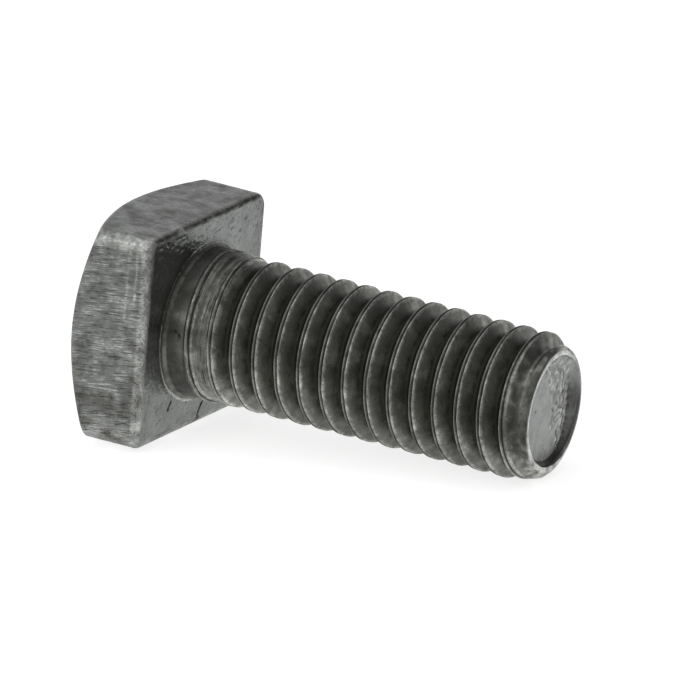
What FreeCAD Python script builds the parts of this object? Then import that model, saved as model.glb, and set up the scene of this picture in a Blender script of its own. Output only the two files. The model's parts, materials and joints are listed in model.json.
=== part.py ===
import FreeCAD, Part
import math
import os
from FreeCAD import Vector

# All sizes are in millimetres. The bolt is made upright about Z, with the bearing face of its head
# at z = 0 and its thread pointing up, and is laid down as it rests at the end.

# Square head
width_across_flats = 13.84
head_height = 5.90
chamfer_start_radius = 5.60
chamfer_angle = 25.0
corner_radius = 0.80
bearing_edge_radius = 0.55

# Plain neck below the head, and the low lip that rolling leaves where the neck ends
neck_radius = 4.66
neck_length = 1.30
neck_fillet_radius = 0.42
neck_fillet_steps = 3
lip_height = 0.06
lip_width = 0.55

# Rolled right-hand thread
major_radius = 4.65
pitch = 1.5875
thread_depth = 0.87
crest_flat = 0.26
flank_angle = 30.0
straight_flank_depth = 0.50
length_under_head = 24.88
first_full_crest = 3.61

# Run-out of the thread at the neck: a shallow first groove, then a slope down to full depth
shallow_groove_depth = 0.15
shallow_groove_end = 2.95
run_out_angle = 45.0
fade_length = 0.50

# Point: a short taper on the slightly off-centre end of the blank
point_length = 1.38
point_angle = 21.0
point_offset = 0.13

# Cupped end face, out of square from shearing, with a steep bevel outside its rim
end_tilt = 3.2
end_bevel_angle = 66.0
rim_radius = 3.60
rim_width = 0.30
cup_depth = 0.42
cup_floor_radius = 2.60

# How far cutting shapes reach past the surface that they cut, and cores lie below it
overrun = 0.60

# Where the seam of a turned surface lies, away from where each turn of the thread starts
seam_turn = 90.0


def profile_point(radius, height):
    return Vector(radius, 0, height)


def section_face(corners):
    """A flat face through the axis, straight between its corners, given as radius and height."""
    points = [profile_point(radius, height) for radius, height in corners]
    return Part.Face(Part.makePolygon(points + points[:1]))


def turned_outline(corners):
    """The solid that a section sweeps when it is turned about the bolt's axis."""
    solid = section_face(corners).revolve(Vector(0, 0, 0), Vector(0, 0, 1), 360)
    solid.rotate(Vector(0, 0, 0), Vector(0, 0, 1), seam_turn)
    return solid


def square_head():
    """The square block with rounded corners, its free end chamfered by a cone."""
    half = width_across_flats / 2
    block = Part.makeBox(width_across_flats, width_across_flats, head_height, Vector(-half, -half, -head_height))
    upright = [e for e in block.Edges if abs(e.tangentAt(e.FirstParameter).z) > 0.5]
    block = block.makeFillet(corner_radius, upright)
    bearing = [e for e in block.Edges if e.BoundBox.ZMin > -bearing_edge_radius / 2]
    block = block.makeFillet(bearing_edge_radius, bearing)

    reach = width_across_flats
    drop = (reach - chamfer_start_radius) * math.tan(math.radians(chamfer_angle))
    cone = turned_outline(
        [
            (0, -head_height),
            (chamfer_start_radius, -head_height),
            (reach, -head_height + drop),
            (reach, overrun),
            (0, overrun),
        ]
    )
    return block.common(cone)


def neck_fillet():
    """Corners of the concave fillet below the head, from the bearing face up to the neck."""
    centre = neck_radius + neck_fillet_radius
    corners = []
    for step in range(neck_fillet_steps + 1):
        angle = math.radians(90 * step / neck_fillet_steps)
        rise = neck_fillet_radius * (1 - math.cos(angle))
        corners.append((centre - neck_fillet_radius * math.sin(angle), rise))
    return corners


def neck():
    """Fillet, neck and lip, then the core that fills the first groove and slopes down to the root."""
    lip_radius = neck_radius + lip_height
    lip_start = neck_length + lip_height
    lip_end = lip_start + lip_width
    shallow_radius = major_radius - shallow_groove_depth
    core_radius = major_radius - thread_depth - overrun
    slope_length = (shallow_radius - core_radius) / math.tan(math.radians(run_out_angle))
    top = shallow_groove_end + slope_length
    foot = neck_radius + neck_fillet_radius
    outline = neck_fillet() + [
        (neck_radius, neck_length),
        (lip_radius, lip_start),
        (lip_radius, lip_end),
        (shallow_radius, lip_end + fade_length),
        (shallow_radius, shallow_groove_end),
        (core_radius, top),
        (0, top),
        (0, -head_height / 2),
        (foot, -head_height / 2),
    ]
    return turned_outline(outline)


def screw_start_cut():
    """What is taken off the start of the screw, so that it begins inside the lip."""
    start = neck_length + lip_height + lip_width / 2
    outer = major_radius + overrun
    return turned_outline([(0, -length_under_head), (outer, -length_under_head), (outer, start), (0, start)])


def point_envelope():
    """A tapered sleeve around the end of the shank, which trims the last crests down to the point."""
    start = length_under_head - point_length
    reach = point_length + overrun
    shrink = reach * math.tan(math.radians(point_angle))
    outer = major_radius + neck_fillet_radius + overrun
    sleeve = turned_outline(
        [
            (major_radius + point_offset, start),
            (outer, start),
            (outer, start + reach),
            (major_radius + point_offset - shrink, start + reach),
        ]
    )
    sleeve.translate(Vector(point_offset, 0, 0))
    return sleeve


def helix_edge(radius, height):
    """One right-hand turn of a helix that starts at the given height over the X axis."""
    helix = Part.makeHelix(pitch, pitch, radius)
    helix.translate(Vector(0, 0, height))
    return helix.Edges[0]


def raised(shape, height):
    copy = shape.copy()
    copy.translate(Vector(0, 0, height))
    return copy


def thread_section(height):
    """Corners of one pitch of thread, as radius and height: crest flat, flank, rounded root, flank."""
    blend_radius = major_radius - straight_flank_depth
    flank_rise = straight_flank_depth * math.tan(math.radians(flank_angle))
    crest_end = height + crest_flat
    next_crest = height + pitch
    return [
        (major_radius, height),
        (major_radius, crest_end),
        (blend_radius, crest_end + flank_rise),
        (major_radius - thread_depth, (crest_end + next_crest) / 2),
        (blend_radius, next_crest - flank_rise),
        (major_radius, next_crest),
    ]


def end_faces(corners, height):
    """What closes the screw at one end: a ramp from its outer helix to the axis, and an upright step."""
    axis = Part.makeLine(profile_point(0, height), profile_point(0, height + pitch))
    ramp = Part.makeRuledSurface(helix_edge(major_radius, height), axis)
    step = section_face([(0, height)] + corners + [(0, height + pitch)])
    return [ramp, step]


def thread_screw():
    """The full-depth thread as one solid, turn by turn, from inside the lip to past the end face."""
    turns_below = math.ceil(first_full_crest / pitch)
    start = first_full_crest - crest_flat / 2 - turns_below * pitch
    turns = math.ceil((length_under_head + pitch - start) / pitch)
    corners = thread_section(start)
    helices = [helix_edge(radius, height) for radius, height in corners]
    strips = [Part.makeRuledSurface(a, b) for a, b in zip(helices, helices[1:])]
    faces = [raised(strip, turn * pitch) for turn in range(turns) for strip in strips]
    top = turns * pitch
    faces += end_faces(corners, start)
    faces += end_faces([(radius, height + top) for radius, height in corners], start + top)
    shell = Part.Shell(faces)
    shell.sewShape()
    return Part.Solid(shell)


def end_cut():
    """What is taken off past the end face: a bevel, a flat rim, and a boss that leaves the cup."""
    outer = major_radius + point_offset + overrun
    bevel_drop = (outer - rim_radius) * math.tan(math.radians(90 - end_bevel_angle))
    reach = 4 * pitch
    cut = turned_outline(
        [
            (0, -cup_depth),
            (cup_floor_radius, -cup_depth),
            (rim_radius - rim_width, 0),
            (rim_radius, 0),
            (outer, -bevel_drop),
            (outer, reach),
            (0, reach),
        ]
    )
    cut.rotate(Vector(0, 0, 0), Vector(1, 0, 0), -end_tilt)
    cut.translate(Vector(point_offset, 0, length_under_head))
    return cut


def resting_tilt():
    """Angle at which the bolt lies on the edge of its head and on the last full crest by its point."""
    point_start = length_under_head - point_length
    crests = math.floor((point_start - first_full_crest) / pitch)
    crest_edge = first_full_crest + crests * pitch + crest_flat / 2
    run = crest_edge + bearing_edge_radius
    rise = width_across_flats / 2 - bearing_edge_radius - major_radius
    span = math.hypot(run, rise)
    return math.degrees(math.atan2(rise, run) + math.asin(bearing_edge_radius / span))


def lay_down(bolt):
    """Turn the bolt's axis to +X, tip it onto its point, and centre it over the origin."""
    bolt.rotate(Vector(0, 0, 0), Vector(0, 1, 0), 90 + resting_tilt())
    box = bolt.optimalBoundingBox(False, False)
    bolt.translate(Vector(-box.Center.x, -box.Center.y, -box.ZMin))
    return bolt


def square_head_bolt():
    threaded = thread_screw().cut([screw_start_cut(), point_envelope(), end_cut()])
    return square_head().fuse([neck(), threaded])


os.makedirs("parts", exist_ok=True)
lay_down(square_head_bolt()).exportStep("parts/square_head_bolt.step")
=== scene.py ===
import json
import math

import bmesh
import bpy
from mathutils import Matrix, Vector, noise


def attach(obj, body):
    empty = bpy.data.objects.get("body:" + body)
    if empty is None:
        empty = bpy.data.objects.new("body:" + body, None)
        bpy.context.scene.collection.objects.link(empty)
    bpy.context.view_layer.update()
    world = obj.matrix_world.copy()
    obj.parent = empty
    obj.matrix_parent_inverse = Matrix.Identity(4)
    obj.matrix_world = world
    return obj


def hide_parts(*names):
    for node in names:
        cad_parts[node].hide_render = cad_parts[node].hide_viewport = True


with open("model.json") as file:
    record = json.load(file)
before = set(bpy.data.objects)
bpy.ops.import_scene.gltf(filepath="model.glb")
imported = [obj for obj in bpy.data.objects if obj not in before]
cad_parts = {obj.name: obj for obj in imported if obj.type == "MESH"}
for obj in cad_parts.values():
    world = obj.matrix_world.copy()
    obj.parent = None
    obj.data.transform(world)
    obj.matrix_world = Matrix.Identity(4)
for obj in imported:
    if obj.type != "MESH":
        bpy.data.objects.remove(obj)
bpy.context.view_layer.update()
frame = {"record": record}
millimetre = 0.001
mergeGap = 0.0005        # in millimetres: vertices closer than this are one
cutGap = 0.002           # and a cut passes through those closer than this to it
print("frame loaded")


# Where the bolt lies: its axis and the middle of its bearing face, read from the record's mounts

mounts = {mount["name"]: mount for mount in frame["record"]["mounts"]}
towardTip = Vector(mounts["bearing_face"]["axis"]).normalized()
onFace = Vector(mounts["bearing_face"]["pos_m"])
onAxis = Vector(mounts["thread"]["pos_m"])
faceCentre = onAxis - towardTip * (onAxis - onFace).dot(towardTip)
farSide = Vector((0, 1, 0))
underSide = farSide.cross(towardTip)
# The bolt is modelled upright in millimetres, x to its underside, y to its far side and z to its tip
layDown = Matrix.Translation(faceCentre) @ Matrix((underSide, farSide, towardTip)).transposed().to_4x4()
layDown = layDown @ Matrix.Scale(millimetre, 4)


# Small helpers for shapes

def softMax(a, b, blend):
    overlap = max(blend - abs(a - b), 0) / blend
    return max(a, b) + overlap * overlap * blend / 4     # rounds the corner where a and b cross


def softMin(a, b, blend):
    return -softMax(-a, -b, blend)


def ramp(value, start, end):
    t = min(max((value - start) / (end - start), 0), 1)
    return t * t * (3 - 2 * t)


def bump(value, centre, width):
    return math.exp(-((value - centre) / width) ** 2)


def dotAt(x, y, centreX, centreY, size):
    return bump(math.hypot(x - centreX, y - centreY), 0, size)


def fading(value, strength, start, end):
    return strength * ramp(value, start, end)


def lineAt(value, strength, centre, width):
    return strength * bump(value, centre, width)


layerGap = 37.7          # keeps the layers of noise apart


def wander(x, y, z, size, layer):
    # noise that is the same on every run
    return noise.noise(Vector((x / size, y / size, z / size + layerGap * layer)))


def uneven(spot, mean, *parts):
    # a mean, and for each part its strength, the size of its lumps and its layer of noise
    return sum((strength * wander(*spot, size, layer) for strength, size, layer in parts), mean)


def fromSegment(x, y, start, end):
    run = (end[0] - start[0], end[1] - start[1])
    along = ((x - start[0]) * run[0] + (y - start[1]) * run[1]) / (run[0] ** 2 + run[1] ** 2)
    along = min(max(along, 0), 1)
    return math.hypot(x - start[0] - along * run[0], y - start[1] - along * run[1])


def fromLine(x, y, corners):
    return min(fromSegment(x, y, start, end) for start, end in zip(corners, corners[1:]))


def steps(count, whole=1):
    return [whole * i / count for i in range(count + 1)]


# Thread: one section line spun as a screw, then trimmed to the neck and the point

thread = {
    "majorRadius": 4.65,
    "pitch": 1.5875,
    "depth": 0.87,
    "flankAngle": 30,
    "crestFlat": 0.28,
    "cornerBlend": 0.05,
    "firstCrest": 3.595,         # height of the first full crest over the x axis
    "columns": 144,
    # runs of rows along one pitch, from groove to groove: where each run ends and its rows
    "rowRuns": ((-0.60, 3), (-0.26, 3), (0.26, 15), (0.60, 3), (0.79375, 3)),
    # rolling raises two ridges along the crest, with a lap between
    "ridgeOffset": 0.17,
    "lapOffset": -0.02,
    "lapDepth": 0.12,
    "lapWidth": 0.08,
    "lapShift": 0.17,            # how far the lap leans toward the tip where it crosses the band
    "lapShiftEnds": (2.2, 4.2),
    "lapStart": 0.2,             # it opens over this length past the lip's edge
    "lapGape": (0.75, (0.6, 0.8, 2)),  # how far open it is, unevenly
    "crestWander": (0, (0.014, 1.1, 1)),
    "crestBand": 0.25,           # how far below the crests the wander reaches
    # pits on the flanks and crests: turn in degrees, height, size and depth
    "pits": (
        (-53, 10.35, 0.10, 0.06), (-57, 7.17, 0.12, 0.06),
        (-138, 11.09, 0.10, 0.05), (-96, 0.95, 0.09, 0.05),
    ),
}

neck = {
    "radius": 4.66,
    "start": 0.62,               # where the head's rings take over
    "filletRadius": 0.30,
    "lipStart": 1.24,
    "lipLean": 0.25,             # the lip's edge isn't square to the axis, and lies highest at this turn
    "lipLeanTurn": -50,
    "lipHeight": 0.07,
    "lipFace": (-0.04, 0.05),    # where its face starts and ends, about its edge
    "lipEnd": 1.94,
    "fadeLength": 0.36,
    "shallowDepth": 0.16,
    "shallowEnd": 2.95,
    "runOutSlope": 1.0,
    "blend": 0.05,
}

point = {
    "start": 23.45,              # where the crests begin to taper
    "taper": 0.42,               # radius lost for each millimetre
    "shiftStart": 23.85,         # the sheared end of the blank sits lower than the shank
    "shiftEnd": 24.55,
    "shift": 0.15,
    "endHeight": 24.88,
    "endTilt": 3.2,              # the near side is longer
    "nearBevel": 0.36,           # the near side is bevelled further, so that the last groove runs out on it
    "nearBevelEnds": (0.5, 1.2),  # where it comes in, past the start
    "farTrim": 0.22,             # and the far side is sheared closer
    "farTrimEnds": (0.2, 1.0),
    "edgeBlend": 0.15,
    "edgeBlendUnder": 0.24,      # more rounding on the underside
    "grooveEnd": 0.05,           # the last groove fills up between these distances from the end
    "grooveFade": 1.1,
    "grooveBlend": 0.1,
    "crestBlend": 0.05,
    "burr": (-109, 25.0, 0.11, 0.05),  # a small burr beside the rim: turn, height, size and rise
}


def sectionRadius(offset):
    slope = math.tan(math.radians(thread["flankAngle"]))
    fromCrest = abs(offset)
    fromGroove = thread["pitch"] / 2 - fromCrest
    flankDrop = (fromCrest - thread["crestFlat"] / 2) / slope
    drop = softMax(flankDrop, 0, thread["cornerBlend"])
    root = (thread["pitch"] - thread["crestFlat"]) / 2 / slope - thread["depth"]     # meets both flanks
    if fromGroove < root * math.cos(math.radians(thread["flankAngle"])):
        drop = thread["depth"] - root + math.sqrt(root * root - fromGroove * fromGroove)
    return thread["majorRadius"] - drop


def rowOffsets():
    offsets = []
    start = -thread["pitch"] / 2
    for end, rows in thread["rowRuns"]:
        offsets += [start + (end - start) * row / rows for row in range(rows)]
        start = end
    return offsets


def crestPhase(turn, height):
    pitch = thread["pitch"]
    along = height - thread["firstCrest"] - pitch * turn / (2 * math.pi)
    return (along + pitch / 2) % pitch - pitch / 2       # distance along the axis from the nearest crest


def lipEdge(turn):
    return neck["lipStart"] + neck["lipLean"] * math.cos(turn - math.radians(neck["lipLeanTurn"]))


def neckRadius(turn, height):
    edge = lipEdge(turn)
    faceStart, faceEnd = neck["lipFace"]
    rise = neck["lipHeight"] * ramp(height, edge + faceStart, edge + faceEnd)
    fullFall = neck["lipHeight"] + neck["shallowDepth"]
    fall = fullFall * ramp(height, neck["lipEnd"], neck["lipEnd"] + neck["fadeLength"])
    slope = max(height - neck["shallowEnd"], 0) * neck["runOutSlope"]
    return neck["radius"] + rise - fall - slope


def lapAt(turn, height):
    lean = thread["lapShift"] * (1 - ramp(height, *thread["lapShiftEnds"]))
    return crestPhase(turn, height) - thread["lapOffset"] - lean


def endShift(height):
    return point["shift"] * ramp(height, point["shiftStart"], point["shiftEnd"])


def endPlane(y):
    return point["endHeight"] - y * math.tan(math.radians(point["endTilt"]))


def pointRadius(turn, height):
    past = height - point["start"]
    radius = thread["majorRadius"] - point["taper"] * past
    radius -= point["nearBevel"] * max(-math.sin(turn), 0) * ramp(past, *point["nearBevelEnds"])
    radius -= point["farTrim"] * max(math.sin(turn), 0) ** 2 * ramp(past, *point["farTrimEnds"])
    toEnd = endPlane(radius * math.sin(turn)) - height
    edge = point["edgeBlend"] + point["edgeBlendUnder"] * max(math.cos(turn), 0) ** 2
    if toEnd < edge:
        radius -= edge - math.sqrt(max(edge * edge - (edge - max(toEnd, 0)) ** 2, 0))
    shift = endShift(height)
    return shift * math.cos(turn) + math.sqrt(radius * radius - (shift * math.sin(turn)) ** 2)


def pitDepth(turn, height, radius):
    depth = 0
    for pitTurn, pitHeight, size, deep in thread["pits"]:
        reach = 3 * size
        if abs(height - pitHeight) < reach:
            across = radius * math.sin(turn - math.radians(pitTurn))
            if abs(across) < reach and math.cos(turn - math.radians(pitTurn)) > 0:
                depth += deep * dotAt(across, height, 0, pitHeight, size)
    return depth


def burrRise(turn, height, radius):
    burrTurn, burrHeight, size, rise = point["burr"]
    across = radius * math.sin(turn - math.radians(burrTurn))
    onItsSide = ramp(math.cos(turn - math.radians(burrTurn)), 0, 0.5)
    return rise * dotAt(across, height, 0, burrHeight, size) * onItsSide


def shankRadius(turn, height, spun):
    spot = (math.cos(turn) * spun, math.sin(turn) * spun, height)
    onCrest = ramp(spun, thread["majorRadius"] - thread["crestBand"], thread["majorRadius"])
    radius = spun + onCrest * uneven(spot, *thread["crestWander"])
    radius = softMax(radius, neckRadius(turn, height), neck["blend"])
    gape = max(uneven(spot, *thread["lapGape"]), 0)
    lap = thread["lapDepth"] * gape * bump(lapAt(turn, height), 0, thread["lapWidth"])
    edge = lipEdge(turn)
    radius -= lap * ramp(height, edge, edge + thread["lapStart"])
    radius -= pitDepth(turn, height, radius)
    envelope = pointRadius(turn, height)
    if height > point["start"]:
        toEnd = endPlane(radius * math.sin(turn)) - height
        groove = envelope - thread["depth"] * ramp(toEnd, point["grooveEnd"], point["grooveFade"])
        radius = softMax(radius, groove, point["grooveBlend"])
    return softMin(radius, envelope, point["crestBlend"]) + burrRise(turn, height, radius)


def spinThread(bm):
    pitch, columns = thread["pitch"], thread["columns"]
    lowest = math.floor((neck["start"] - thread["firstCrest"]) / pitch) - 1
    highest = math.ceil((point["endHeight"] + pitch - thread["firstCrest"]) / pitch) + 1
    line = []
    for crest in range(lowest, highest):
        for offset in rowOffsets():
            height = thread["firstCrest"] + crest * pitch + offset
            line.append(bm.verts.new((sectionRadius(offset), 0, height)))
    edges = [bm.edges.new(pair) for pair in zip(line, line[1:])]
    bmesh.ops.spin(
        bm, geom=line + edges, cent=(0, 0, 0), axis=(0, 0, 1), dvec=(0, 0, pitch / columns),
        angle=2 * math.pi, steps=columns, use_merge=False,
    )
    bmesh.ops.remove_doubles(bm, verts=bm.verts[:], dist=mergeGap)
    for vert in bm.verts:
        turn = math.atan2(vert.co.y, vert.co.x)
        spun = math.hypot(vert.co.x, vert.co.y)
        scale = shankRadius(turn, vert.co.z, spun) / spun
        vert.co.x *= scale
        vert.co.y *= scale


def onlyKind(geometry, kind):
    return [piece for piece in geometry if isinstance(piece, kind)]


def cutLoop(bm, place, normal):
    cut = bmesh.ops.bisect_plane(
        bm, geom=bm.verts[:] + bm.edges[:] + bm.faces[:], dist=cutGap,
        plane_co=place, plane_no=normal, clear_outer=True,
    )
    return onlyKind(cut["geom_cut"], bmesh.types.BMEdge)


# Each zone has its own finish, from how it was made
zones = ("rolledThread", "upsetFace", "trimmedSides", "shearedEnd")


def extrudeRing(bm, ring, zone):
    made = bmesh.ops.extrude_edge_only(bm, edges=ring)["geom"]
    for face in onlyKind(made, bmesh.types.BMFace):
        face.material_index = zones.index(zone)
    return made


def nextRing(bm, ring, placeVert, zone):
    made = extrudeRing(bm, ring, zone)
    verts = set(onlyKind(made, bmesh.types.BMVert))
    for vert in verts:
        vert.co = placeVert(vert)
    return [edge for edge in onlyKind(made, bmesh.types.BMEdge) if set(edge.verts) <= verts]


def closeRing(bm, ring, zone):
    verts = {vert for edge in ring for vert in edge.verts}
    centre = sum((vert.co for vert in verts), Vector()) / len(verts)
    inner = onlyKind(extrudeRing(bm, ring, zone), bmesh.types.BMVert)
    bmesh.ops.pointmerge(bm, verts=inner, merge_co=centre)


def growRings(bm, ring, turnOf, runs):
    # each run has the function that places its rings, a value for each ring and the zone of its faces
    for place, values, zone in runs:
        for value in values:
            ring = nextRing(bm, ring, lambda vert: place(turnOf(vert), value), zone)
    closeRing(bm, ring, zone)


# Head: rings carried on from the neck over the fillet, the bearing face, the sides and the chamfer

head = {
    # for each side from the underside round by the far side and the top to the near side
    "halfWidths": (6.82, 6.95, 6.74, 7.12),
    "edgeRadii": (0.50, 0.37, 0.30, 0.50),
    "cornerRadii": (0.80, 1.10, 0.70, 1.00),  # at the end of each side
    "cornerShare": 0.22,         # share of each quarter's columns that turn the corner
    "height": 5.83,
    "chamferRadius": 5.54,
    "chamferSlope": 0.467,
    "chamferCurve": 0.008,
    "chamferRounding": 0.12,
    "filletRings": 6,
    "faceRings": 16,
    "edgeRings": 6,
    # rings down the sides, closest where the burr lines of the near side are
    "sideDepths": (
        0.54, 0.62, 0.70, 0.77, 0.84, 0.91, 1.0, 1.12, 1.24,
        1.34, 1.44, 1.54, 1.66, 1.80, 1.95, 2.1, 2.3,
    ),
    "sideRings": 14,
    "chamferRings": 10,
    "topRings": 8,
    # extra rings beside the edges, which keep them crisp, as shares of the way across
    "faceEdgeShares": (0.03, 0.97),
    "chamferStartShares": (0.025, 0.06),
    "chamferEndShare": 0.97,
    "topStartShare": 0.02,
    # trimming leaves the sides slightly wavy, with two torn burr lines near the near side's bearing edge
    "waviness": (0, (0.012, 1.8, 8)),
    "wavinessStretch": 0.6,
    "reliefEnds": (-0.50, -0.62),  # it starts below the rounded edge
    "reliefRadius": 7,           # its height is right at this distance from the axis
    "burrReach": 0.3,            # they reach this far in from the flat, at its rounded corners
    "burrHeight": 0.035,
    "burrTorn": (0.5, (1, 0.25, 9)),
    "burrLines": ((1, -0.85, 0.06), (0.6, -1.45, 0.08)),  # strength, place and width
    "firstBurrEnds": (-2.2, -3.2),  # the first line shows only toward the top
}

# Marks on the bearing face, at x toward the underside and y toward the far side
faceMarks = {
    "nick": ((4.51, -3.08), (4.96, -3.38)),
    "nickWidth": 0.07,
    "nickDepth": 0.10,
    "crack": ((5.45, 0.85), (5.8, 0.55), (6.2, 0.3), (6.5, 0.6)),
    "crackWidth": 0.05,
    "crackDepth": 0.06,
    "pits": (
        (-5.5, 4.5, 0.10), (-4.9, 3.9, 0.08), (4.3, -2.5, 0.07),
        (5.4, -4.3, 0.08), (5.0, -1.2, 0.07), (-5.9, 2.9, 0.07),
    ),
    "pitDepth": 0.05,
    "burrZone": (-5.35, -0.9, 0.9, 2.4),  # its centre and half sizes, just above the neck
    "burrs": (0, (0.035, 0.22, 10)),
    "footRing": (5.02, 0.045, 0.035),  # a low ring round the foot of the neck: radius, width and height
    "bubbles": (0, (1, 0.30, 16)),
    "bubbleEnds": (0.2, 0.34),   # how strong that is where a bubble begins and where it is in full
    "bubbleDepth": 0.03,
    "fineFrom": 4.9,             # the mesh is finer outside this radius, and marked outside the next
    "marksFrom": 4.98,
    "finestWithin": 0.22,        # and finest this close to the nick and the crack
}


def sideAt(turn):
    # the side of the head, the one after it, and the share of the quarter turn from one to the other
    quarter = turn / (math.pi / 2)
    side = math.floor(quarter) % 4
    return side, (side + 1) % 4, quarter - math.floor(quarter)


def outline(turn, tuck):
    side, after, share = sideAt(turn)
    halfX = head["halfWidths"][side]
    halfY = head["halfWidths"][after]
    insetX = head["edgeRadii"][side] * tuck
    insetY = head["edgeRadii"][after] * tuck
    corner = head["cornerRadii"][side]
    straight = 0.5 - head["cornerShare"] / 2
    if share < straight:
        spot = Vector((halfX - insetX, (halfY - corner) * share / straight, 0))
    elif share > 1 - straight:
        spot = Vector(((halfX - corner) * (1 - share) / straight, halfY - insetY, 0))
    else:
        bend = (share - straight) / head["cornerShare"] * math.pi / 2
        reachX, reachY = (corner - insetX) * math.cos(bend), (corner - insetY) * math.sin(bend)
        spot = Vector((halfX - corner + reachX, halfY - corner + reachY, 0))
    spot.rotate(Matrix.Rotation(side * math.pi / 2, 3, "Z"))
    return spot


def edgeRadiusAt(turn):
    side, after, share = sideAt(turn)
    straight = 0.5 - head["cornerShare"] / 2
    blend = ramp(share, straight, 1 - straight)
    return head["edgeRadii"][side] * (1 - blend) + head["edgeRadii"][after] * blend


def chamferHeight(spot):
    out = math.hypot(spot.x, spot.y) - head["chamferRadius"]
    return -head["height"] + out * head["chamferSlope"] + out * abs(out) * head["chamferCurve"]


def circle(turn, radius, height):
    return Vector((radius * math.cos(turn), radius * math.sin(turn), height))


def sideRelief(spot):
    relief = uneven((spot.x, spot.y, spot.z * head["wavinessStretch"]), *head["waviness"])
    if spot.y < -head["halfWidths"][3] + head["burrReach"]:
        torn = uneven((spot.x, 0, spot.z), *head["burrTorn"])
        first, second = (lineAt(spot.z, *line) for line in head["burrLines"])
        relief += head["burrHeight"] * (first * ramp(spot.x, *head["firstBurrEnds"]) + second) * torn
    return relief * ramp(spot.z, *head["reliefEnds"])


def faceRelief(x, y):
    nick = bump(fromLine(x, y, faceMarks["nick"]), 0, faceMarks["nickWidth"])
    crack = bump(fromLine(x, y, faceMarks["crack"]), 0, faceMarks["crackWidth"])
    relief = -faceMarks["nickDepth"] * nick - faceMarks["crackDepth"] * crack
    for pit in faceMarks["pits"]:
        relief -= faceMarks["pitDepth"] * dotAt(x, y, *pit)
    bubbles = ramp(uneven((x, y, 0), *faceMarks["bubbles"]), *faceMarks["bubbleEnds"])
    relief -= faceMarks["bubbleDepth"] * bubbles
    ring, ringWidth, ringHeight = faceMarks["footRing"]
    relief += ringHeight * bump(math.hypot(x, y), ring, ringWidth)
    centreX, centreY, halfX, halfY = faceMarks["burrZone"]
    inZone = bump(x, centreX, halfX) * bump(y, centreY, halfY)
    return relief + inZone * uneven((x, y, 0), *faceMarks["burrs"])


def onFillet(turn, bend):
    fillet = neck["filletRadius"]
    radius = neck["radius"] + fillet - fillet * math.cos(bend)
    return circle(turn, radius, fillet - fillet * math.sin(bend))


def onBearing(turn, share):
    return circle(turn, neck["radius"] + neck["filletRadius"], 0).lerp(outline(turn, 1), share)


def onEdge(turn, bend):
    spot = outline(turn, 1 - math.sin(bend))
    spot.z = -edgeRadiusAt(turn) * (1 - math.cos(bend))
    return spot


def onSide(turn, depth):
    spot = outline(turn, 0)
    spot.z = -depth
    return spot * (1 + sideRelief(spot) / head["reliefRadius"])


def towardChamfer(turn, share):
    spot = outline(turn, 0)
    low = -head["sideDepths"][-1]
    spot.z = low + (chamferHeight(spot) + head["chamferRounding"] - low) * share
    return spot * (1 + sideRelief(spot) * (1 - share) / head["reliefRadius"])


def onChamfer(turn, share):
    spot = outline(turn, 0).lerp(circle(turn, head["chamferRadius"], 0), share)
    spot.z = chamferHeight(spot)
    return spot


def onTop(turn, share):
    return circle(turn, head["chamferRadius"] * (1 - share), -head["height"])


def growHead(bm, ring, turnLayer):
    quarterTurn = math.pi / 2
    nearNeck, nearEdge = head["faceEdgeShares"]
    growRings(bm, ring, lambda vert: vert[turnLayer], (
        (onFillet, steps(head["filletRings"], quarterTurn), "rolledThread"),
        (onBearing, [nearNeck] + steps(head["faceRings"])[1:-1] + [nearEdge], "upsetFace"),
        (onEdge, steps(head["edgeRings"], quarterTurn), "trimmedSides"),
        (onSide, head["sideDepths"], "trimmedSides"),
        (towardChamfer, steps(head["sideRings"])[1:], "trimmedSides"),
        (onChamfer, head["chamferStartShares"], "trimmedSides"),
        (onChamfer, steps(head["chamferRings"])[1:-1] + [head["chamferEndShare"]], "upsetFace"),
        (onTop, [head["topStartShare"]] + steps(head["topRings"])[1:-1], "upsetFace"),
    ))


def roughenFace(bm):
    # finer mesh on the bearing face, finer again at its nick and crack, then pressed in
    def onBearingFace(vert, radius):
        return abs(vert.co.z) < mergeGap and math.hypot(vert.co.x, vert.co.y) > radius

    def inFace(edge):
        return all(onBearingFace(vert, faceMarks["fineFrom"]) for vert in edge.verts)

    def nearMark(edge):
        middle = (edge.verts[0].co + edge.verts[1].co) / 2
        marks = faceMarks["nick"], faceMarks["crack"]
        return min(fromLine(middle.x, middle.y, mark) for mark in marks) < faceMarks["finestWithin"]

    faceEdges = [edge for edge in bm.edges if inFace(edge)]
    bmesh.ops.subdivide_edges(bm, edges=faceEdges, cuts=1, use_grid_fill=True)
    markEdges = [edge for edge in bm.edges if inFace(edge) and nearMark(edge)]
    bmesh.ops.subdivide_edges(bm, edges=markEdges, cuts=2, use_grid_fill=True)
    for vert in bm.verts:
        if onBearingFace(vert, faceMarks["marksFrom"]):
            vert.co.z += faceRelief(vert.co.x, vert.co.y)


# End face: a thin rim and a shallow cup, torn on its far half where the shear broke out

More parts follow.
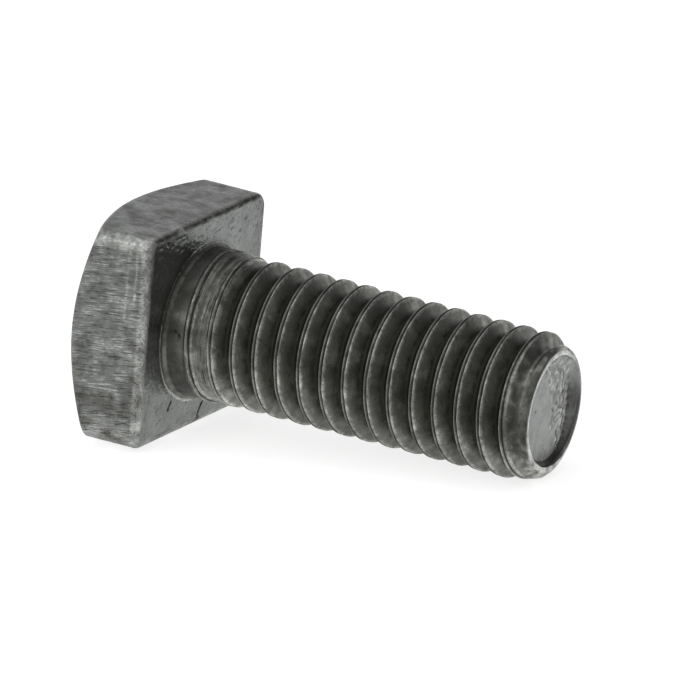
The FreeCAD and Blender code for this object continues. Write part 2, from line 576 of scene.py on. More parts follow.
cup = {
    "rimCentre": (0.15, 0.20),
    "rimRadius": 3.55,
    "rimTop": 0.08,              # the rim bulges toward the top and the far side
    "rimFar": 0.10,
    "rimLow": -0.14,             # and is flat low on the near side, at this turn
    "rimLowTurn": -50,
    "land": 0.03,                # least width of metal outside the rim
    "rimUneven": (1, (0.012, 0.6, 5)),
    "rimJag": (0, (0.03, 0.09, 21)),
    "rimRounding": 0.10,
    # points of the rounding, as shares of its radius inward and down
    "rimArc": ((0, 0), (0.5, 0.13), (0.85, 0.5)),
    "wallWidth": 0.35,
    "wallUneven": (1, (0.25, 0.1, 23)),
    "topWallWidth": 0.2,         # what the wall is wider by at the top and on the far side
    "farWallWidth": 0.85,
    "depth": 0.42,
    "wallRings": 6,
    "floorRings": 24,
    "floorEdge": 0.96,           # the floor's relief starts inside this share of its reach
    # where the shear broke out: from a ragged, slanting line up to here, toward the far side
    "tornStart": (0.15, (0.9, 0.8, 17)),
    "tornSlant": 0.30,
    "tornFade": (-0.2, 0.5),
    "tornEnd": (2.7, 2.2),
    "tear": 0.09,
    "tearLumps": (0, (1, 0.55, 6), (0.7, 0.3, 7)),
    "ripple": (0, (0.012, 0.9, 11)),
    # small marks on the floor: x, y, size and depth
    "pits": ((-2.97, -0.29, 0.12, 0.08), (-0.67, 2.06, 0.14, 0.12), (-0.28, -1.65, 0.08, 0.04)),
}


def tornShare(x, y):
    mean, *lumps = cup["tornStart"]
    start = uneven((x, y, 0), mean + cup["tornSlant"] * x, *lumps)
    fadeStart, fadeEnd = cup["tornFade"]
    return ramp(y, start + fadeStart, start + fadeEnd) * ramp(y, *cup["tornEnd"])


def acrossEnd(turn, reach):
    centreX, centreY = cup["rimCentre"]
    return centreX + reach * math.cos(turn), centreY + reach * math.sin(turn)


def rimReach(turn):
    onCircle = (math.cos(turn), math.sin(turn), 0)
    reach = cup["rimRadius"] * uneven(onCircle, *cup["rimUneven"])
    reach += uneven(onCircle, *cup["rimJag"])
    reach += cup["rimTop"] * max(-math.cos(turn), 0) ** 2 + cup["rimFar"] * max(math.sin(turn), 0) ** 2
    reach += cup["rimLow"] * max(math.cos(turn - math.radians(cup["rimLowTurn"])), 0) ** 4
    x, y = acrossEnd(turn, reach)
    room = pointRadius(math.atan2(y, x), endPlane(y)) - cup["land"]
    return reach - max(math.hypot(x, y) - room, 0)


def wallWidth(turn):
    ragged = uneven((math.cos(turn), math.sin(turn), 0), *cup["wallUneven"])
    wide = cup["farWallWidth"] * ragged * max(math.sin(turn), 0) ** 2
    return cup["wallWidth"] + wide + cup["topWallWidth"] * max(-math.cos(turn), 0) ** 4


def floorRelief(x, y):
    relief = cup["tear"] * tornShare(x, y) * uneven((x, y, 0), *cup["tearLumps"])
    relief += uneven((x, y, 0), *cup["ripple"])
    for *pit, depth in cup["pits"]:
        relief -= depth * dotAt(x, y, *pit)
    return relief


def onRim(turn, corner):
    inward, down = (cup["rimRounding"] * share for share in corner)
    x, y = acrossEnd(turn, rimReach(turn) - inward)
    return Vector((x, y, endPlane(y) - down))


def onWall(turn, share):
    rounding = cup["rimRounding"]
    reach = rimReach(turn) - rounding - (wallWidth(turn) - rounding) * ramp(share, 0, 1)
    x, y = acrossEnd(turn, reach)
    return Vector((x, y, endPlane(y) - rounding - (cup["depth"] - rounding) * share))


def onFloor(turn, share):
    x, y = acrossEnd(turn, (rimReach(turn) - wallWidth(turn)) * share)
    relief = floorRelief(x, y) * ramp(share, 1, cup["floorEdge"])
    return Vector((x, y, endPlane(y) - cup["depth"] + relief))


def growEnd(bm, ring):
    centreX, centreY = cup["rimCentre"]
    growRings(bm, ring, lambda vert: math.atan2(vert.co.y - centreY, vert.co.x - centreX), (
        (onRim, cup["rimArc"], "shearedEnd"),
        (onWall, steps(cup["wallRings"]), "shearedEnd"),
        (onFloor, [1 - share for share in steps(cup["floorRings"])[1:-1]], "shearedEnd"),
    ))


# Wear, grime and drag marks, kept on the mesh for the materials to read. Wear is metal rubbed bare, and
# on the crest ridges, the ring at the foot of the neck and the near side's top corner also a painted
# highlight. Grime is where dirt stays; in the thread's grooves it is also painted shade, and on the crowns'
# far-top side, the near bevel by the rim, the cup by the foot of its wall and the fillet at the foot of the
# neck it is painted shade, and along the top and far bearing edges a painted dark reflection. It also
# darkens the near side and the end face toward the underside. Drag is how far the finish's streaks show.
# A mark's numbers are its strength, if it has three, then its place and width or where it starts and ends.
# Turns are in radians unless a note says degrees.

leastDrag = 0.12

threadMarkTable = {
    "from": 0.61,                # the height where the head's marks give way to these
    "ridges": ((1.1, 0.05), (1.5, 0.065)),  # wear and painted highlight on each side of the lap: strength and width
    "ridgeUneven": (0.65, (0.8, 0.9, 12), (1.3, 0.22, 14)),
    "ridgeLeast": 0.1,
    "band": (0.05, 0.2),         # wear and grime on the band between the lip and the thread
    "bandStart": 0.1,
    "bandEnd": (3.4, 3.0),
    "lipLine": (0.6, 0.04, 0.05),
    "rubbedLumps": (0, (1, 0.9, 20)),
    "rubbed": (0.3, 0.15, 0.45),
    "grooves": (0.42, 0.72),     # dirt and painted shade fill them from here, measured from the crest
    "grooveEnds": ((2.9, 3.3), (24.3, 23.6)),
    "neckDirt": (0.15, 0.02, -0.1),
    "lapDirt": 0.05,
    # painted shade on the near side of the bevel by the rim, dulling the lamp's highlight there
    "rimPaintedShade": (0.35, 24.1, 24.5),
    "rimPaintedShadeTurns": (-0.6, -1.1),
    # painted shade on the far-top side of the crowns
    "topPaintedShade": (0.35, 2.35, 0.75),
    "topPaintedShadeEnds": ((3.6, 4.4), (24.0, 23.6)),
    "bevelPatches": (0, (1, 0.5, 21)),  # light and dark patches on the last bevel
    "bevelStart": (23.3, 23.7),
    "bevelBare": (0.6, 0.06, 0.35),
    "bevelDirt": (0.35, -0.08, -0.35),
    # light rubbed spots: turn in degrees, height and size
    "smudges": (
        (-110, 0.66, 0.20), (-114, 15.75, 0.14), (-128, 6.6, 0.14),
        (-109, 25.0, 0.10), (-88, 19.1, 0.10), (-10, 24.3, 0.5),
    ),
    "neckCrack": ((-98.5, 0.62), (-97.5, 0.8), (-95.0, 1.1)),  # turn in degrees and height
    "neckCrackWidth": 0.09,
    "neckEnd": 1.4,
}

endMarkTable = {
    "rimUneven": (0.9, (1.0, 0.5, 13)),
    "rimFarFade": (0.9, 1.5, 3.0),
    "rimDepth": 0.10,            # the rim is bare down to here
    "lumps": (0, (1, 0.3, 7)),
    "lumpBare": (0.5, -0.1, 0.35),
    "lumpDirt": (0.15, -0.1, -0.35),
    "wallEnds": (-0.05, 0.1),    # about the foot of the wall
    # painted shade in the cup, down by the foot of its wall
    "wallPaintedShade": 0.65,
    "wallPaintedShadeSide": (-0.75, -0.1),  # not at the top, as cosines of the turn
    "wallPaintedShadeDepth": (0.08, 0.2),
    # darker toward the underside of the end face
    "lowDarkening": (0.4, 2.0, 3.3),
}

headMarkTable = {
    "footReach": 5.3,            # marks at the foot of the neck lie inside this radius and above this
    "footBottom": -0.001,
    "footSide": (0.5, -2.0),
    # wear and painted highlight along the low ring round the foot of the neck
    "footLine": (1.3, 5.01, 0.06),
    "footWider": (0.04, 0.5, -3.0),  # what the line is wider by toward the top
    "footUneven": (1, (0.8, 0.4, 18)),
    # painted shade in the fillet at the foot of the neck
    "footPaintedShade": (0.4, 4.96, 4.86),
    "faceFrom": 5.0,
    "faceDepth": 0.14,           # the bearing face's marks reach this far from its plane
    "crackDirt": 0.08,
    "pitDirt": 0.8,
    "onSide": (-0.25, -0.05),    # where a side's marks fade in, measured outward from it
    "sideDrag": (0.9, 0.7, 0.25, 1.0),  # in the order of head's sides
    # wear and painted highlight along the near side's top corner
    "cornerStart": (-5.6, -6.3),
    "cornerSpot": (0.3, 0.35),
    "cornerUneven": (1.9, (1.3, 0.35, 15)),
    "cornerSmooth": 0.6,         # how far its wear takes away the streaks
    "stripFrom": (-0.7, -0.3),   # a rubbed strip along the near side's bearing edge
    "stripDepth": (-0.6, -0.4),
    "stripUneven": (0.75, (0.6, 0.4, 22)),
    "ridgeTorn": (0.5, (1.2, 0.3, 9)),
    "ridges": ((1.5, -0.85, 0.07), (0.9, -1.45, 0.08)),
    "ridgeEnds": ((-2.2, -3.0), (0.5, -2.0)),
    "hollowDirt": (0.4, -1.95, 0.25),  # below the second ridge, low on the near side
    "hollowFrom": (2.6, 3.2),
    # darker toward the underside of the near side
    "lowDarkening": (0.25, 1.0, 4.0),
    "edgeFrom": (-0.4, -0.2),    # a painted dark reflection: a jagged dark line on the top and the far bearing edge
    "edgeUneven": (0.8, (1.2, 0.3, 19)),
    "edgeLine": (-0.05, 0.06),
    "underCorner": (0.45, 5.0, 6.0),
}


def threadMarks(spot):
    w = threadMarkTable
    turn = math.atan2(spot.y, spot.x)
    lap = lapAt(turn, spot.z)
    edge = lipEdge(turn)
    pastEdge = ramp(spot.z, edge, edge + thread["lapStart"])
    onBand = ramp(spot.z, edge, edge + w["bandStart"]) * ramp(spot.z, *w["bandEnd"])
    offset = thread["ridgeOffset"]
    # wear and painted highlight along the two crest ridges
    (before, beforeWidth), (after, afterWidth) = w["ridges"]
    wearAndSheen = before * bump(lap, -offset, beforeWidth) + after * bump(lap, offset, afterWidth)
    wearAndSheen *= max(uneven(spot, *w["ridgeUneven"]), w["ridgeLeast"])
    bandBare, bandDirt = w["band"]
    wearAndSheen = wearAndSheen * pastEdge + bandBare * onBand + lineAt(spot.z - edge, *w["lipLine"])
    wearAndSheen = max(wearAndSheen, fading(uneven(spot, *w["rubbedLumps"]), *w["rubbed"]))

    # dirt and painted shade in the grooves
    grimeAndShade = ramp(abs(crestPhase(turn, spot.z)), *w["grooves"])
    for ends in w["grooveEnds"]:
        grimeAndShade *= ramp(spot.z, *ends)
    grimeAndShade = max(grimeAndShade, fading(spot.z - edge, *w["neckDirt"]))
    grimeAndShade = max(grimeAndShade, bandDirt * onBand, bump(lap, 0, w["lapDirt"]) * pastEdge)
    # painted shade on the near bevel by the rim
    grimeAndShade = max(grimeAndShade, fading(spot.z, *w["rimPaintedShade"]) * ramp(turn, *w["rimPaintedShadeTurns"]))
    # painted shade on the far-top side of the crowns, along the thread
    topPaintedShade = lineAt(turn, *w["topPaintedShade"])
    for ends in w["topPaintedShadeEnds"]:
        topPaintedShade *= ramp(spot.z, *ends)
    grimeAndShade = max(grimeAndShade, topPaintedShade)

    patch = uneven(spot, *w["bevelPatches"]) * ramp(spot.z, *w["bevelStart"])
    wearAndSheen = max(wearAndSheen, fading(patch, *w["bevelBare"]))
    grimeAndShade = max(grimeAndShade, fading(patch, *w["bevelDirt"]))
    for spotTurn, spotHeight, size in w["smudges"]:
        across = thread["majorRadius"] * math.radians(math.degrees(turn) - spotTurn)
        wearAndSheen = max(wearAndSheen, dotAt(across, spot.z, 0, spotHeight, size))
    if spot.z < w["neckEnd"]:
        crack = [(thread["majorRadius"] * math.radians(t), z) for t, z in w["neckCrack"]]
        away = fromLine(thread["majorRadius"] * turn, spot.z, crack)
        grimeAndShade = max(grimeAndShade, bump(away, 0, w["neckCrackWidth"]))
    return wearAndSheen, grimeAndShade, max(leastDrag, onBand)


def endMarks(spot):
    w = endMarkTable
    flat = (spot.x, spot.y, 0)
    torn = tornShare(spot.x, spot.y)
    below = endPlane(spot.y) - spot.z
    lumps = uneven(flat, *w["lumps"])
    wearAndSheen = ramp(below, w["rimDepth"], 0) * uneven(flat, *w["rimUneven"])
    wearAndSheen *= 1 - fading(spot.y, *w["rimFarFade"])
    wearAndSheen = max(wearAndSheen, torn * fading(lumps, *w["lumpBare"]))
    grimeAndShade = torn * fading(lumps, *w["lumpDirt"])
    for *pit, _ in cup["pits"]:
        grimeAndShade = max(grimeAndShade, dotAt(spot.x, spot.y, *pit))
    x, y = spot.x - cup["rimCentre"][0], spot.y - cup["rimCentre"][1]
    turn = math.atan2(y, x)
    foot = rimReach(turn) - wallWidth(turn)
    wallStart, wallEnd = w["wallEnds"]
    onWall = ramp(math.hypot(x, y), foot + wallStart, foot + wallEnd)
    # painted shade in the cup by the foot of its wall, not at the top
    inShade = w["wallPaintedShade"] * onWall * ramp(math.cos(turn), *w["wallPaintedShadeSide"])
    # darker toward the underside, where not worn
    low = fading(spot.x, *w["lowDarkening"]) * (1 - wearAndSheen)
    grimeAndShade = max(grimeAndShade, inShade * ramp(below, *w["wallPaintedShadeDepth"]), low)
    return wearAndSheen, grimeAndShade, max(torn, leastDrag) * (1 - onWall)


def footMarks(spot, radius):
    w = headMarkTable
    strength, place, width = w["footLine"]
    width += fading(spot.x, *w["footWider"])
    # wear and painted highlight along the ring at the foot of the neck
    wearAndSheen = lineAt(radius, strength, place, width) * ramp(spot.y, *w["footSide"])
    wearAndSheen *= uneven((spot.x, spot.y, 0), *w["footUneven"])
    # then painted shade in the fillet inside it
    return wearAndSheen, fading(radius, *w["footPaintedShade"]), leastDrag


def headMarks(spot):
    w = headMarkTable
    radius = math.hypot(spot.x, spot.y)
    if spot.z > w["footBottom"] and radius < w["footReach"]:
        return footMarks(spot, radius)
    grimeAndShade = 0
    if radius > w["faceFrom"] and abs(spot.z) < w["faceDepth"]:
        away = min(fromLine(spot.x, spot.y, faceMarks[mark]) for mark in ("nick", "crack"))
        grimeAndShade = bump(away, 0, w["crackDirt"])
        for pit in faceMarks["pits"]:
            grimeAndShade = max(grimeAndShade, w["pitDirt"] * dotAt(spot.x, spot.y, *pit))

    # how far past each side the spot is, in the order of head's sides
    outward = (spot.x, spot.y, -spot.x, -spot.y)
    past = [out - half for out, half in zip(outward, head["halfWidths"])]
    onSides = [ramp(out, *w["onSide"]) for out in past]
    far, top, near = past[1:]
    onNear = onSides[3]
    drag = max(strength * onSide for strength, onSide in zip(w["sideDrag"], onSides))

    # wear and painted highlight along the near side's top corner
    cornerPlace, cornerWidth = w["cornerSpot"]
    corner = onNear * ramp(spot.x, *w["cornerStart"])
    corner = max(corner, bump(math.hypot(top, near), cornerPlace, cornerWidth))
    drag *= 1 - w["cornerSmooth"] * min(corner, 1)
    wearAndSheen = max(corner * uneven(spot, *w["cornerUneven"]), 0)
    strip = ramp(near, *w["stripFrom"]) * ramp(spot.z, *w["stripDepth"])
    wearAndSheen = max(wearAndSheen, strip * uneven(spot, *w["stripUneven"]))
    torn = max(uneven(spot, *w["ridgeTorn"]), 0)
    ridge = 0
    for line, ends in zip(w["ridges"], w["ridgeEnds"]):
        ridge += lineAt(spot.z, *line) * ramp(spot.x, *ends)
    wearAndSheen = max(wearAndSheen, onNear * ridge * torn, onNear * fading(spot.x, *w["underCorner"]))

    hollow = lineAt(spot.z, *w["hollowDirt"]) * ramp(spot.x, *w["hollowFrom"])
    # the hollow's dirt, and darker toward the underside of the near side
    grimeAndShade = max(grimeAndShade, onNear * hollow, onNear * fading(spot.x, *w["lowDarkening"]))
    # painted dark reflection along the top and far bearing edges
    outer = max(ramp(top, *w["edgeFrom"]), ramp(far, *w["edgeFrom"]))
    jagged = uneven((spot.x, spot.y, 0), *w["edgeUneven"])
    grimeAndShade = max(grimeAndShade, outer * jagged * bump(spot.z, *w["edgeLine"]))
    byFace = spot.z >= -head["edgeRadii"][0]
    return wearAndSheen, grimeAndShade, max(drag, 1 if byFace else leastDrag)


def markLayers(bm):
    layers = [bm.verts.layers.float.new(name) for name in ("wearAndSheen", "grimeAndShade", "drag")]
    for vert in bm.verts:
        spot = vert.co
        onEnd = any(zones[face.material_index] == "shearedEnd" for face in vert.link_faces)
        if onEnd:
            marks = endMarks(spot)
        elif spot.z > threadMarkTable["from"]:
            marks = threadMarks(spot)
        else:
            marks = headMarks(spot)
        for layer, value in zip(layers, marks):
            vert[layer] = min(max(value, 0), 1)


def addObject(name, data):
    thing = bpy.data.objects.new(name, data)
    bpy.context.scene.collection.objects.link(thing)
    return thing


def addMesh(name, bm):
    mesh = bpy.data.meshes.new(name)
    bm.to_mesh(mesh)
    bm.free()
    return addObject(name, mesh)


def makeBolt():
    bm = bmesh.new()
    turnLayer = bm.verts.layers.float.new("turn")
    spinThread(bm)
    print("thread spun", len(bm.verts))
    tilt = math.tan(math.radians(point["endTilt"]))
    endRing = cutLoop(bm, (0, 0, point["endHeight"]), Vector((0, tilt, 1)).normalized())
    neckRing = cutLoop(bm, (0, 0, neck["start"]), (0, 0, -1))
    for edge in neckRing:
        for vert in edge.verts:
            vert[turnLayer] = math.atan2(vert.co.y, vert.co.x) % (2 * math.pi)
    growHead(bm, neckRing, turnLayer)
    growEnd(bm, endRing)
    print("head and end grown", len(bm.verts))
    bmesh.ops.remove_doubles(bm, verts=bm.verts[:], dist=mergeGap)
    roughenFace(bm)
    print("open edges", sum(1 for edge in bm.edges if not edge.is_manifold))
    bmesh.ops.recalc_face_normals(bm, faces=bm.faces[:])
    markLayers(bm)
    print("wear marked")
    bm.verts.layers.float.remove(turnLayer)
    for face in bm.faces:
        face.smooth = True
    bm.transform(layDown)
    bolt = addMesh("bolt", bm)
    triangles = sum(len(polygon.vertices) - 2 for polygon in bolt.data.polygons)
    print("bolt made", len(bolt.data.polygons), "faces", triangles, "triangles")
    return bolt


# Materials

def linear(code):
    parts = [int(code[i:i + 2], 16) / 255 for i in (1, 3, 5)]
    return [p / 12.92 if p <= 0.04045 else ((p + 0.055) / 1.055) ** 2.4 for p in parts] + [1]


def addNode(tree, kind, settings=None, inputs=None):
    node = tree.nodes.new(kind)
    for name, value in (settings or {}).items():
        setattr(node, name, value)
    for name, value in (inputs or {}).items():
        socket = node.inputs[name]
        if isinstance(name, str):        # a name that several sockets share means the one in use
            socket = [s for s in node.inputs if s.name == name and s.enabled][0]
        if isinstance(value, bpy.types.Node):
            value = [s for s in value.outputs if s.enabled][0]
        if isinstance(value, bpy.types.NodeSocket):
            tree.links.new(value, socket)
        else:
            socket.default_value = value
    return node


# Each finish is plain low-carbon steel as that part of the bolt was made. Sizes are in millimetres.
# Its three colours, in order, are under the dark oil film, where rubbed bare or a highlight is painted, and
# where dirt stays or shade is painted.
# Smooth and rough are its roughness at both ends of a blotch. The grain of the steel, about 0.02 mm, and
# the finest scratches are too fine to show, so grainSize and streakSize are as coarse as they need to be.
finishes = {
    # cold rolled between dies: smooth dark flanks and bright ridges, with fine streaks round the band
    "rolledThread": {
        "film": "#8a8a85", "bareAndSheen": "#e4e5e0", "grimeAndShade": "#3d3c37",
        "smooth": 0.25, "rough": 0.40, "grainSize": 0.12, "grainDepth": 0.006,
        "streakSize": (0.07, 1.6, 1.6), "streakLean": 0, "sway": 0.1,
        "streakDepth": 0.03, "streakBare": 0.55, "streakDark": 0.7,
        "blotchSize": 0.7, "blotchDark": 0.35, "speckSize": 0.16, "speckDark": 0.2,
    },
    # pressed flat in the heading die: satin, with small dents and specks
    "upsetFace": {
        "film": "#868987", "bareAndSheen": "#dcdeda", "grimeAndShade": "#35342f",
        "smooth": 0.24, "rough": 0.36, "grainSize": 0.12, "grainDepth": 0.006,
        "streakSize": (0.3, 0.3, 0.3), "streakLean": 0, "sway": 0.1,
        "streakDepth": 0.035, "streakBare": 0.03, "streakDark": 0.1,
        "blotchSize": 1.4, "blotchDark": 0.15, "speckSize": 0.13, "speckDark": 0.5,
    },
    # trimmed by a die pushed along the axis: broken drag scratches that way, dull between them
    "trimmedSides": {
        "film": "#939694", "bareAndSheen": "#e2e4e0", "grimeAndShade": "#4f4e48",
        "smooth": 0.30, "rough": 0.46, "grainSize": 0.25, "grainDepth": 0.04,
        "streakSize": (0.9, 0.06, 0.06), "streakLean": 8, "sway": 0.02,
        "streakDepth": 0.04, "streakBare": 1.0, "streakDark": 0.9,
        "blotchSize": 1.2, "blotchDark": 0.5, "speckSize": 0.12, "speckDark": 0.3,
    },
    # sheared off: a burnished half, and a half torn where the shear broke out, which the drag layer marks
    "shearedEnd": {
        "film": "#858886", "bareAndSheen": "#d8dad6", "grimeAndShade": "#3c3b36",
        "smooth": 0.18, "rough": 0.30, "grainSize": 0.10, "grainDepth": 0.012,
        "streakSize": (0.3, 0.3, 0.3), "streakLean": 0, "sway": 0.1,
        "streakDepth": 0.04, "streakBare": 0.1, "streakDark": 0.1,
        "blotchSize": 0.8, "blotchDark": 0.2, "speckSize": 0.15, "speckDark": 0.3,
    },
}

# The detail and roughness of each pattern
patterns = {"blotch": (3, 0.6), "grain": (2, 0.6), "speck": (1, 0.5), "streak": (3, 0.65)}

# What is made of the patterns: from which, between which of its values, and how much at each of the
# two, where a name stands for that value of the finish
shares = {
    "rubbed": ("grain", 0.35, 0.58, 0.35, 1),     # how far wear bares the metal and painted highlights show
    "scraped": ("blotch", 0.56, 0.42, 0.2, 1),    # patches where streaks are bright
    "bright": ("streak", 0.53, 0.68, 0, "streakBare"),
    "dark": ("streak", 0.46, 0.32, 0, "streakDark"),
    "patches": ("blotch", 0.40, 0.68, 0, "blotchDark"),
    "specks": ("speck", 0.60, 0.72, 0, "speckDark"),
    "dull": ("blotch", 0.35, 0.65, "smooth", "rough"),
}
grimeAndShadeRoughness = 0.25            # what grime and painted shade add


def boltSteel(name):
    look = finishes[name]
    material = bpy.data.materials.new(name)
    material.use_nodes = True
    tree = material.node_tree
    shader = tree.nodes["Principled BSDF"]
    shader.inputs["Metallic"].default_value = 1

    # millimetres from the middle of the bearing face, the first one along the axis
    coords = addNode(tree, "ShaderNodeTexCoord")
    place = addNode(tree, "ShaderNodeMapping", {"vector_type": "TEXTURE"}, {
        "Vector": coords.outputs["Object"], "Location": faceCentre,
        "Rotation": (0, math.asin(-towardTip.z), 0), "Scale": [millimetre] * 3})
    made = {}
    for pattern in ("blotch", "grain", "speck"):
        detail, roughness = patterns[pattern]
        made[pattern] = addNode(tree, "ShaderNodeTexNoise", inputs={
            "Vector": place, "Scale": 1 / look[pattern + "Size"],
            "Detail": detail, "Roughness": roughness})
    sway = addNode(tree, "ShaderNodeVectorMath", {"operation": "SCALE"}, {
        "Vector": made["blotch"].outputs["Color"], "Scale": look["sway"]})
    swayed = addNode(tree, "ShaderNodeVectorMath", {"operation": "ADD"}, {0: place, 1: sway})
    leant = addNode(tree, "ShaderNodeMapping", inputs={
        "Vector": swayed, "Rotation": (0, math.radians(look["streakLean"]), 0)})
    stretch = addNode(tree, "ShaderNodeMapping", inputs={
        "Vector": leant, "Scale": [1 / size for size in look["streakSize"]]})
    detail, roughness = patterns["streak"]
    made["streak"] = addNode(tree, "ShaderNodeTexNoise", inputs={
        "Vector": stretch, "Scale": 1, "Detail": detail, "Roughness": roughness})
    for share, (pattern, start, end, least, most) in shares.items():
        made[share] = addNode(tree, "ShaderNodeMapRange", inputs={
            "Value": made[pattern], "From Min": start, "From Max": end,
            "To Min": look.get(least, least), "To Max": look.get(most, most)})
    for mark in ("wearAndSheen", "grimeAndShade", "drag"):
        made[mark] = addNode(tree, "ShaderNodeAttribute", {"attribute_name": mark}).outputs["Fac"]

    for name, operation, first, second in (
        # bare metal and painted highlight: where they are marked, broken up by the grain,
        # and bare metal along the strongest streaks
        ("onEdges", "MULTIPLY", "wearAndSheen", "rubbed"),
        ("inPatches", "MULTIPLY", "scraped", "drag"),
        ("onStreaks", "MULTIPLY", "bright", "inPatches"),
        ("bareAndSheenShare", "ADD", "onEdges", "onStreaks"),
        # dirt and painted shade: where they are marked, and dirt along the weakest streaks,
        # in soft blotches and in small specks
        ("between", "MULTIPLY", "dark", "drag"),
        ("spread", "ADD", "patches", "specks"),
        ("marked", "ADD", "between", "grimeAndShade"),
        ("dirtAndShadeShare", "ADD", "spread", "marked"),
        # relief of the streaks
        ("scored", "MULTIPLY", "streak", "drag"),
    ):
        made[name] = addNode(tree, "ShaderNodeMath", {
            "operation": operation, "use_clamp": name.endswith("Share")}, {
            0: made[first], 1: made[second]})
    metal = addNode(tree, "ShaderNodeMix", {"data_type": "RGBA"}, {
        "Factor": made["bareAndSheenShare"], "A": linear(look["film"]), "B": linear(look["bareAndSheen"])})
    surface = addNode(tree, "ShaderNodeMix", {"data_type": "RGBA"}, {
        "Factor": made["dirtAndShadeShare"], "A": metal, "B": linear(look["grimeAndShade"])})
    tree.links.new([s for s in surface.outputs if s.enabled][0], shader.inputs["Base Color"])
    matt = addNode(tree, "ShaderNodeMath", {"operation": "MULTIPLY_ADD", "use_clamp": True}, {
        0: made["grimeAndShade"], 1: grimeAndShadeRoughness, 2: made["dull"]})
    tree.links.new(matt.outputs[0], shader.inputs["Roughness"])

    # relief too fine for the mesh: scratches or streaks, then grain
    scratches = addNode(tree, "ShaderNodeBump", inputs={
        "Height": made["scored"], "Distance": look["streakDepth"] * millimetre, "Strength": 1})
    tooth = addNode(tree, "ShaderNodeBump", inputs={
        "Height": made["grain"], "Distance": look["grainDepth"] * millimetre, "Strength": 1,
        "Normal": scratches})
    tree.links.new(tooth.outputs[0], shader.inputs["Normal"])
    return material


# Stage: pale floor, soft lights and the camera at the photograph's angle

stage = {
    "floorSize": 6,              # metres
    "floorColour": "#e8e8e8",
    "azimuth": 30.25,
    "elevation": 15.56,
    "roll": 0.37,
    "lens": 1400,
    "clip": (0.1, 20),           # nearest and farthest that shows, in metres
    "frameWidth": 42.26,         # millimetres of the object's plane that fill the picture
    "target": (-1.601, 4.045, 5.467),  # what it looks at, in millimetres
    "cameraGlow": 0.74,          # what lifts the floor to white for the camera
    "glossGlow": (0.52, 0.70),   # the same in reflections, before the bolt and from under it on
    "glossGlowEnds": (-12, -2),
    "underShade": 0.55,          # how much less there is beneath the thread, from the neck to the tip
    "underNeckEnds": (-5, -2),
    "underTipEnds": (12, 15),
    "underSidesEnds": (4, 9),
    "farShade": 0.18,            # and how much less behind the bolt, then in a band further back
    "farEnds": (12, 28),
    "bandShade": 0.6,
    "bandEnds": (36, 50),
    "horizonGlow": 1.5,          # and how bright it is further back still
    "horizonEnds": (120, 220),
    "paintedDarkPatchGlow": 0.24,            # a darker patch painted on the floor to the right, seen only in reflections
    "paintedDarkPatchEnds": (16, 25),
}


def makeFloor():
    bm = bmesh.new()
    bmesh.ops.create_grid(bm, x_segments=1, y_segments=1, size=stage["floorSize"] / 2)
    floor = addMesh("floor", bm)
    material = bpy.data.materials.new("white_card")
    material.use_nodes = True
    tree = material.node_tree
    tree.nodes.clear()

    rays = addNode(tree, "ShaderNodeLightPath")
    coords = addNode(tree, "ShaderNodeTexCoord")
    split = addNode(tree, "ShaderNodeSeparateXYZ", inputs={"Vector": coords.outputs["Object"]})
    x, y = split.outputs["X"], split.outputs["Y"]
    sideways = addNode(tree, "ShaderNodeMath", {"operation": "ABSOLUTE"}, {0: y})
    across = addNode(tree, "ShaderNodeMath", {"operation": "SUBTRACT"}, {0: x, 1: y})

    made = {
        "gloss": rays.outputs["Is Glossy Ray"],
        "camera": rays.outputs["Is Camera Ray"],
        "cameraGlow": stage["cameraGlow"],
    }
    for name, along, low, high in (
        ("glossGlow", y, *stage["glossGlow"]),
        ("underNeck", x, 0, 1),
        ("underTip", x, 1, 0),
        ("underSides", sideways, -stage["underShade"], 0),
        ("far", y, 1, 1 - stage["farShade"]),
        ("band", y, 1, 1 - stage["bandShade"]),
        ("horizon", y, 0, stage["horizonGlow"]),
        ("paintedDarkPatch", across, 0, 1),
    ):
        start, end = stage[name + "Ends"]
        made[name] = addNode(tree, "ShaderNodeMapRange", {"interpolation_type": "SMOOTHSTEP"}, {
            "Value": along, "From Min": start * millimetre, "From Max": end * millimetre,
            "To Min": low, "To Max": high})

    # the glow in reflections, with its shades, and the one that the camera sees
    for name, operation, first, second in (
        ("alongBolt", "MULTIPLY", "underNeck", "underTip"),
        ("beneath", "MULTIPLY", "alongBolt", "underSides"),
        ("banded", "MULTIPLY", "far", "band"),
        ("beyond", "MAXIMUM", "banded", "horizon"),
        ("shade", "ADD", "beneath", "beyond"),
        ("shaded", "MULTIPLY", "glossGlow", "shade"),
        ("inGloss", "MULTIPLY", "gloss", "shaded"),
        ("toCamera", "MULTIPLY", "camera", "cameraGlow"),
        ("strength", "ADD", "inGloss", "toCamera"),
        ("paintedDarkPatchShare", "MULTIPLY", "gloss", "paintedDarkPatch"),
    ):
        made[name] = addNode(tree, "ShaderNodeMath", {"operation": operation}, {
            0: made[first], 1: made[second]})
    card = addNode(tree, "ShaderNodeBsdfDiffuse", inputs={"Color": linear(stage["floorColour"])})
    glow = addNode(tree, "ShaderNodeEmission", inputs={
        "Color": linear("#ffffff"), "Strength": made["strength"]})
    both = addNode(tree, "ShaderNodeAddShader", inputs={0: card, 1: glow})
    # the painted dark patch, seen only in reflections
    paintedDarkPatch = addNode(tree, "ShaderNodeEmission", inputs={
        "Color": linear("#ffffff"), "Strength": stage["paintedDarkPatchGlow"]})
    floorLook = addNode(tree, "ShaderNodeMixShader", inputs={0: made["paintedDarkPatchShare"], 1: both, 2: paintedDarkPatch})
    addNode(tree, "ShaderNodeOutputMaterial", inputs={"Surface": floorLook})
    floor.data.materials.append(material)


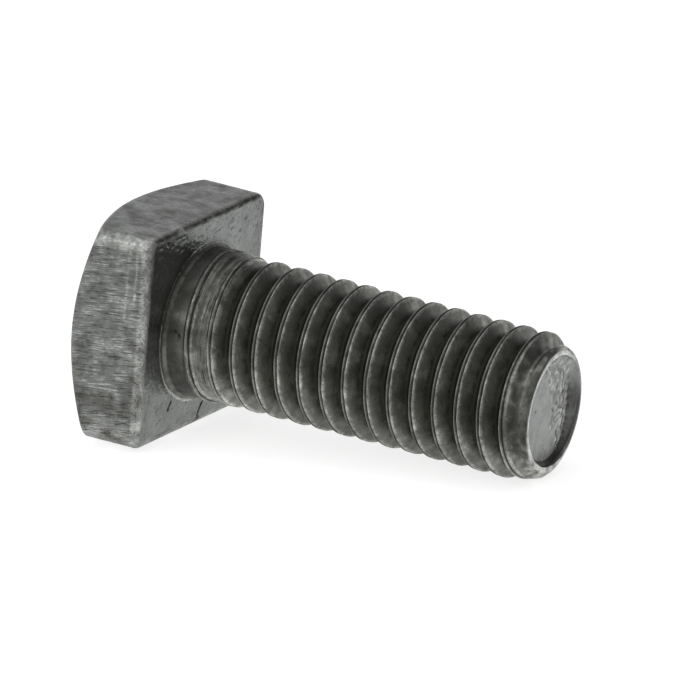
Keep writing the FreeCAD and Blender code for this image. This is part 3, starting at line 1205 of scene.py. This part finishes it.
light = {
    "back": (1.0, 0.25),         # soft wall of light behind: at the horizon, and above where it has faded
    "backEnds": (0.19, 0.51),
    "front": 0.88,
    "toBackEnds": (-0.2, 0.45),  # where the front's light gives way to the back's
    "right": 0.47,               # what is left of both toward the right
    "rightEnds": (-1.1, -0.1),
    "rightDrop": 0.40,           # and how much lower the wall fades there
    "overhead": 0.30,
    "overheadEnds": (0.72, 0.95),
    "lampPower": 0.42,
    "lampSize": 0.35,
    "lampPlace": (-0.10, -0.50, 0.30),
}


def makeWorld():
    world = bpy.data.worlds.new("studio")
    bpy.context.scene.world = world
    world.use_nodes = True
    tree = world.node_tree
    tree.nodes.clear()

    where = addNode(tree, "ShaderNodeTexCoord")
    split = addNode(tree, "ShaderNodeSeparateXYZ", inputs={"Vector": where.outputs["Generated"]})
    x, y, z = split.outputs["X"], split.outputs["Y"], split.outputs["Z"]
    across = addNode(tree, "ShaderNodeMath", {"operation": "SUBTRACT"}, {0: x, 1: y})
    leaning = addNode(tree, "ShaderNodeMath", {"operation": "MULTIPLY_ADD"}, {
        1: light["rightDrop"], 2: z})
    fades = {}
    for name, along, low, high in (
        ("right", across, 0, 1),
        ("toBack", y, 0, 1),
        ("overhead", z, 0, light["overhead"]),
        ("back", leaning, *light["back"]),
    ):
        start, end = light[name + "Ends"]
        fades[name] = addNode(tree, "ShaderNodeMapRange", {"interpolation_type": "SMOOTHSTEP"}, {
            "Value": along, "From Min": start, "From Max": end, "To Min": low, "To Max": high})
    tree.links.new(fades["right"].outputs[0], leaning.inputs[0])     # the wall is lower to the right

    sides = addNode(tree, "ShaderNodeMix", {"data_type": "FLOAT"}, {
        "Factor": fades["toBack"], "A": light["front"], "B": fades["back"]})
    dim = addNode(tree, "ShaderNodeMath", {"operation": "MULTIPLY_ADD"}, {
        0: fades["right"], 1: light["right"] - 1, 2: 1})
    shaded = addNode(tree, "ShaderNodeMath", {"operation": "MULTIPLY"}, {0: sides, 1: dim})
    total = addNode(tree, "ShaderNodeMath", {"operation": "ADD"}, {0: shaded, 1: fades["overhead"]})
    soft = addNode(tree, "ShaderNodeBackground", inputs={"Color": linear("#ffffff"), "Strength": total})
    white = addNode(tree, "ShaderNodeBackground", inputs={"Color": linear("#ffffff"), "Strength": 1})
    rays = addNode(tree, "ShaderNodeLightPath")
    mix = addNode(tree, "ShaderNodeMixShader", inputs={
        0: rays.outputs["Is Camera Ray"], 1: soft, 2: white})
    addNode(tree, "ShaderNodeOutputWorld", inputs={"Surface": mix})


def makeLamp():
    data = bpy.data.lights.new("softBox", "AREA")
    data.energy = light["lampPower"]
    data.size = light["lampSize"]
    lamp = addObject("softBox", data)
    lamp.location = light["lampPlace"]
    lamp.rotation_mode = "QUATERNION"
    lamp.rotation_quaternion = (-Vector(light["lampPlace"])).to_track_quat("-Z", "Y")


def makeCamera():
    turn, rise = math.radians(stage["azimuth"]), math.radians(stage["elevation"])
    back = Vector((math.sin(turn) * math.cos(rise), -math.cos(turn) * math.cos(rise), math.sin(rise)))
    data = bpy.data.cameras.new("camera")
    data.lens = stage["lens"]
    data.clip_start, data.clip_end = stage["clip"]
    camera = addObject("camera", data)
    distance = data.lens / data.sensor_width * stage["frameWidth"] * millimetre
    camera.rotation_mode = "QUATERNION"
    camera.location = Vector(stage["target"]) * millimetre + back * distance
    level = (-back).to_track_quat("-Z", "Y")
    roll = Matrix.Rotation(math.radians(-stage["roll"]), 3, "Z").to_quaternion()
    camera.rotation_quaternion = level @ roll
    bpy.context.scene.camera = camera


bolt = makeBolt()
for zone in zones:
    bolt.data.materials.append(boltSteel(zone))
    print("finished", zone)
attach(bolt, "root")
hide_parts("square_head_bolt")
makeFloor()
makeWorld()
makeLamp()
makeCamera()
bpy.context.scene.view_settings.view_transform = "Standard"
print("stage set")
